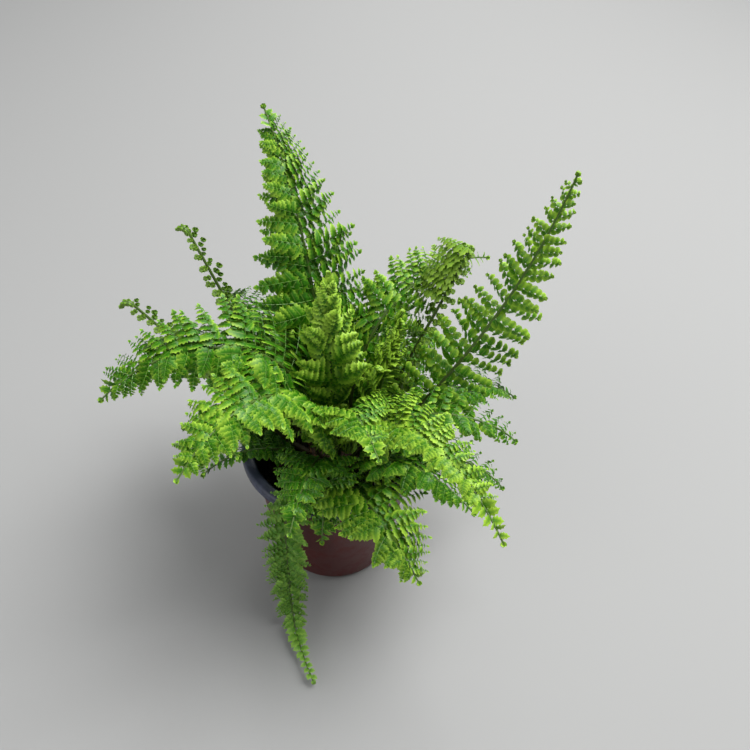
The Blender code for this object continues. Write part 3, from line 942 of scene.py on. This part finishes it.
SIMPLE_PINNA = 4.2 * MM  # a pinna shorter than this is one toothed leaflet
SIMPLE_LONGER = 1.1
SIMPLE_TILT_SPREAD = 12
SIMPLE_WIDTHS, SIMPLE_BENDS = (0.95, 1.25), (0.5, 1.1)


def grow_frond(name, values, looks, climb=bowed_climb, tissue=FROND_TISSUE, tilt=TILT):
    """One whole frond along its rachis, standing for its node."""
    heading, rise, droop, length, sweep, roll = values
    tone, turn, lift, longest, leaf = looks
    fan, coins = name in FANS, leaf is ROUNDED
    dice = random.Random(sum(ord(c) * (i + 1) for i, c in enumerate(name)))
    length *= MM
    longest *= MM
    table = rachis(heading, rise, droop, length, sweep, roll + turn, climb)
    shares = np.linspace(0, 1, STEM_STATIONS)
    stem = STALK_RADIUS + (TIP_RADIUS * TIP_STEM_SHARE - STALK_RADIUS) * shares
    points, faces, marks = grow_stem(table, shares, stem, shares)
    marks[-1, 0] = 1.0
    parts = [(points, faces, marks, RACHIS_SLOT)]
    pitch, tip_pitch = PINNA_PITCH * min(1.0, PITCH_LEAST + longest / PITCH_FULL_REACH), TIP_PITCH
    louvre, leaning = tilt, PINNA_FORWARD
    least_share, least = TOOTHED_LENGTH
    if fan:
        pitch, louvre, leaning = FAN_PITCH, FAN_TILT, FAN_FORWARD
    if coins:
        pitch, tip_pitch, louvre = COIN_PITCH, COIN_TIP_PITCH, COIN_TILT
        least_share, least = COIN_LENGTH
    simple = []
    for hand in (-1, 1):
        share = LEAFY_SHARE + FIRST_PINNA[hand]
        while share < LAST_PINNA:
            up_frond = (share - LEAFY_SHARE) / (1 - LEAFY_SHARE)
            reach = pinna_reach(up_frond, longest) * dice.uniform(*PINNA_REACHES)
            base, tangent, side, upper = frame_at(table, share)
            spread = dice.uniform(-FORWARD_SPREAD, FORWARD_SPREAD)
            forward = math.radians(leaning + MORE_FORWARD * up_frond**2 + spread)
            raise_by = math.radians(lift + dice.uniform(-LIFT_SPREAD, LIFT_SPREAD))
            twist = math.radians(dice.uniform(-TWIST_SPREAD, TWIST_SPREAD))
            run = side * hand * math.cos(forward) + tangent * math.sin(forward)
            run = unit(run * math.cos(raise_by) + upper * math.sin(raise_by))
            up = unit(upper - run * (upper @ run))
            up = unit(up * math.cos(twist) + np.cross(run, up) * math.sin(twist))
            fresh = tone + FRESHER * up_frond + dice.uniform(-FRESH_SPREAD, FRESH_SPREAD)
            sag = math.tan(math.radians(lift)) * SAG_SHARE + dice.uniform(*SAG_SPREAD)
            if reach < SIMPLE_PINNA and leaf is TOOTHED:
                lean = math.radians(tilt + dice.uniform(-SIMPLE_TILT_SPREAD, SIMPLE_TILT_SPREAD))
                face = up * math.cos(lean) + tangent * math.sin(lean)
                width, bend = dice.uniform(*SIMPLE_WIDTHS), dice.uniform(*SIMPLE_BENDS)
                simple.append((base, run, face, reach * SIMPLE_LONGER, width, bend, fresh))
            else:
                pinnule = reach * least_share + least
                laid = reach * COIN_SHORTER if coins else reach
                lay_pinna(dice, parts, base, run, up, laid, leaf, pinnule, fresh, louvre, HANG, sag)
            share += (pitch + (tip_pitch - pitch) * up_frond**PITCH_POWER) / length
    if simple:
        add_leaves(parts, leaf, *(np.array(v) for v in zip(*simple)))
    base, tangent, side, upper = frame_at(table, FROND_TUFT)
    end = np.concatenate([base, tangent, upper, side])
    add_tuft(parts, end, FROND_TUFT_SIZE, tone + 0.3, FROND_TUFT_LEAVES)
    frond = join_parts(name + "_leaf", parts, [tissue, RACHIS_SKIN, MIDRIB_SKIN])
    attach(frond, "root")
    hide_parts(name)


FANS = ("heart_frond_1", "heart_frond_2", "heart_frond_3")

# name: heading, rise, droop (degrees), length mm, sweep, roll (degrees); then its tone (partly painted shade,
# lowest on the low-lying and inner fronds), its blade's extra roll, how far its pinnae lift (degrees), the
# length of its longest pinna in mm, and its pinnules' shape
FRONDS = {
    "inner_frond_1": ((108, 90, 36, 110, 22, 0), (0.34, 0, 22, 19, TOOTHED)),
    "inner_frond_2": ((6, 52, -26, 119, 0, 55), (0.46, 0, 10, 15.5, ROUNDED)),
    "inner_frond_3": ((-72, 94, 98, 72, 0, 0), (0.40, 0, 22, 15, TOOTHED)),
    "inner_frond_4": ((92, 76, 84, 60, 0, 0), (0.25, 0, 25, 13, TOOTHED)),
    "inner_frond_5": ((58, 78, 78, 56, 0, 0), (0.25, 0, 25, 13, TOOTHED)),
    "middle_frond_1": ((202, 104, 142, 102, 10, 0), (0.30, -30, 26, 18, TOOTHED)),
    "middle_frond_2": ((236, 98, 130, 92, 2, 0), (0.42, -25, 24, 19, TOOTHED)),
    "middle_frond_3": ((52, 97, 118, 90, -26, 0), (0.50, 45, 4, 15, TOOTHED)),
    "middle_frond_4": ((-51, 84, 122, 98, -6, 0), (0.62, 10, 38, 12, TOOTHED)),
    "middle_frond_5": ((-22, 80, 128, 68, 18, 0), (0.26, 10, 16, 15, ROUNDED)),
    "middle_frond_6": ((124, 60, 96, 76, 8, 0), (0.22, 0, 20, 14, TOOTHED)),
    "middle_frond_7": ((152, 52, 92, 78, 0, 0), (0.22, 0, 20, 14, TOOTHED)),
    "outer_frond_1": ((-68, 38, 64, 54, 12, 0), (0.52, 0, 26, 17, TOOTHED)),
    "outer_frond_2": ((26, 46, 94, 66, -10, 0), (0.22, 0, 16, 14, TOOTHED)),
    "outer_frond_3": ((-12, 42, 96, 54, 0, 0), (0.20, 0, 16, 13, ROUNDED)),
    "outer_frond_4": ((203, 57, 100, 40, 0, 0), (0.12, 0, 16, 6, TOOTHED)),
    "outer_frond_5": ((-92, 57, 124, 34, 0, 0), (0.24, 0, 16, 10, TOOTHED)),
    "outer_frond_6": ((58, 42, 96, 70, 0, 0), (0.22, 0, 16, 14, TOOTHED)),
    "outer_frond_7": ((98, 40, 92, 66, 0, 0), (0.22, 0, 16, 14, TOOTHED)),
    "outer_frond_8": ((136, 42, 90, 62, 0, 0), (0.20, 0, 16, 13, TOOTHED)),
    "outer_frond_9": ((171, 44, 92, 48, 0, 0), (0.14, 0, 16, 12, TOOTHED)),
    "heart_frond_1": ((95, 106, 26, 70, 0, 0), (0.60, 0, 18, 17, TOOTHED)),
    "heart_frond_2": ((145, 80, 0, 60, 0, 40), (0.58, 0, 18, 15, TOOTHED)),
    "heart_frond_3": ((7, 78, -2, 60, 0, -50), (0.58, 0, 18, 15, TOOTHED)),
    "heart_frond_4": ((-100, 74, 104, 54, 0, 0), (0.20, 0, 20, 12, TOOTHED)),
    "heart_frond_5": ((-38, 58, 92, 54, 0, 0), (0.22, 0, 20, 12, TOOTHED)),
}
for name, (values, looks) in FRONDS.items():
    grow_frond(name, values, looks)


# ---- Hanging frond ----
# One narrow, shaded frond goes over the lip, straight down past the pot, and its end lies on the surface
# that the pot stands on. It is duller than the rest, and its pinnae are short and raised.

HANG_HEADING, HANG_SWEEP = -118, 56
HANG_OVER = (RIM_RADIUS - CROWN_RADIUS) * 1.95
HANG_BEND = 16 * MM
HANG_LYING = 15 * MM
HANG_REST_HEIGHT = 2.8 * MM
HANG_RISE, HANG_CLIMB_DOWN, HANG_CLIMB_LYING = 60, -84, -4
HANG_DROOP = HANG_RISE - HANG_CLIMB_DOWN
HANG_TILT = 16
HANG_PASSES = 6  # each sets the drop again from where the end came to lie
hang_drop = POT_HEIGHT / 2


def hang_length():
    return HANG_OVER + hang_drop + HANG_BEND + HANG_LYING


def hanging_climb(share, rise, droop):
    """Climb in degrees: up over the lip, straight down, then along the surface."""
    run = share * hang_length()
    bent = ease((run - HANG_OVER - hang_drop) / HANG_BEND)
    return rise - droop * ease(run / HANG_OVER) + (HANG_CLIMB_LYING - HANG_CLIMB_DOWN) * bent


for _ in range(HANG_PASSES):
    path = rachis(HANG_HEADING, HANG_RISE, HANG_DROOP, hang_length(), HANG_SWEEP, 0, hanging_climb)
    hang_drop += path[-1][2] - HANG_REST_HEIGHT
grow_frond(
    "hanging_frond",
    (HANG_HEADING, HANG_RISE, HANG_DROOP, hang_length() / MM, HANG_SWEEP, 0),
    (0.62, 0, 46, 8.6, TOOTHED),
    hanging_climb,
    SHADED_TISSUE,
    HANG_TILT,
)


# ---- Young fronds ----
# Three thin fronds that are still opening: a dark wiry stalk, small lobes that are rolled like beads
# along it, and a knob at its end. The third one's top has opened, with its longer pinnae on one side.

YOUNG_END = 0.935  # how far up its stalk is drawn before the knob at its end
YOUNG_STATIONS = 71
YOUNG_TAPER = 0.5
YOUNG_BROWN = 0.6
YOUNG_BARE = 0.30  # share of the stalk below the first lobes
YOUNG_PITCH = 3.1 * MM
YOUNG_REACH_MM, YOUNG_REACH_FALL_MM, YOUNG_REACHES = 6.4, 3.8, (0.8, 1.2)
YOUNG_FORWARD, YOUNG_LIFT = (0.3, 0.9), (-0.2, 0.5)
YOUNG_TONE, YOUNG_TONE_SPREAD = 0.46, 0.1
LOBES = (0.3, 0.75)  # how far out along a pinna its two lobes are
LOBE_SIZE, LOBE_LEAVES = 0.5, 5
CURL_KNOBS, CURL_LEAVES, CURL_KNOB_MM = 4, 4, (1.2, 1.7)

OPEN_FROND = "young_frond_3"
OPEN_FROM, OPEN_PAIRS = 0.70, 8
OPEN_REACHES_MM = ((1, 10.5), (-1, 3.0))
OPEN_SPREAD, OPEN_LIFT = (0.85, 1.1), (0.5, 0.9)
OPEN_FACING = np.array([0, -0.25, 1.0])
OPEN_PINNULE, OPEN_TONE, OPEN_TILT, OPEN_HANG, OPEN_SAG = 0.42, 0.75, 20, 10, 0.5

# name: heading, rise, droop (degrees), length mm, sweep, roll (degrees)
YOUNG_FRONDS = {
    "young_frond_1": (158, 67, 2, 94, 0, 0),
    "young_frond_2": (180, 56, 4, 88, 0, 0),
    OPEN_FROND: (29, 62, 0, 88, 0, 0),
}
for name, (heading, rise, droop, length, sweep, roll) in YOUNG_FRONDS.items():
    dice = random.Random(len(name) * 7 + heading)
    table = rachis(heading, rise, droop, length * MM, sweep, roll, curled_climb)
    end = 1 - CURL_SHARE if name == OPEN_FROND else YOUNG_END
    shares = np.linspace(0, end, YOUNG_STATIONS)
    stem = grow_stem(table, shares, STALK_RADIUS * (1 - YOUNG_TAPER * shares), shares * YOUNG_BROWN)
    parts = [(*stem, RACHIS_SLOT)]
    share = YOUNG_BARE
    while share < 1 - CURL_SHARE:
        base, tangent, side, upper = frame_at(table, share)
        for hand in (-1, 1):
            forward, raised = dice.uniform(*YOUNG_FORWARD), dice.uniform(*YOUNG_LIFT)
            run = unit(side * hand + tangent * forward + upper * raised)
            reach = (YOUNG_REACH_MM - YOUNG_REACH_FALL_MM * share) * MM * dice.uniform(*YOUNG_REACHES)
            up = unit(upper - run * (upper @ run))
            for lobe in LOBES:
                station = np.concatenate([base + run * reach * lobe, run, up, np.cross(run, up)])
                tone = YOUNG_TONE + dice.uniform(-YOUNG_TONE_SPREAD, YOUNG_TONE_SPREAD)
                add_tuft(parts, station, reach * LOBE_SIZE, tone, LOBE_LEAVES, ROUNDED)
        share += YOUNG_PITCH / (length * MM)
    for share in np.linspace(1 - CURL_SHARE, end, CURL_KNOBS):
        base, tangent, side, upper = frame_at(table, share)
        for hand in (-1, 1):
            station = np.concatenate([base, unit(side * hand * 0.8 - upper * 0.3), upper, tangent])
            add_tuft(parts, station, dice.uniform(*CURL_KNOB_MM) * MM, 0.5, CURL_LEAVES, ROUNDED)
    if name == OPEN_FROND:
        for share in np.linspace(OPEN_FROM, end, OPEN_PAIRS):
            base, tangent, side, upper = frame_at(table, share)
            for hand, reach in OPEN_REACHES_MM:
                run = unit(side * hand * 0.75 - tangent * 0.1 + upper * dice.uniform(*OPEN_LIFT))
                up = unit(OPEN_FACING - run * (OPEN_FACING @ run))
                reach *= MM * dice.uniform(*OPEN_SPREAD)
                looks = (reach * OPEN_PINNULE, OPEN_TONE, OPEN_TILT, OPEN_HANG, OPEN_SAG)
                lay_pinna(dice, parts, base, run, up, reach, TOOTHED, *looks)
    frond = join_parts(name + "_leaf", parts, [YOUNG_TISSUE, RACHIS_SKIN, MIDRIB_SKIN])
    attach(frond, "root")
    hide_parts(name)
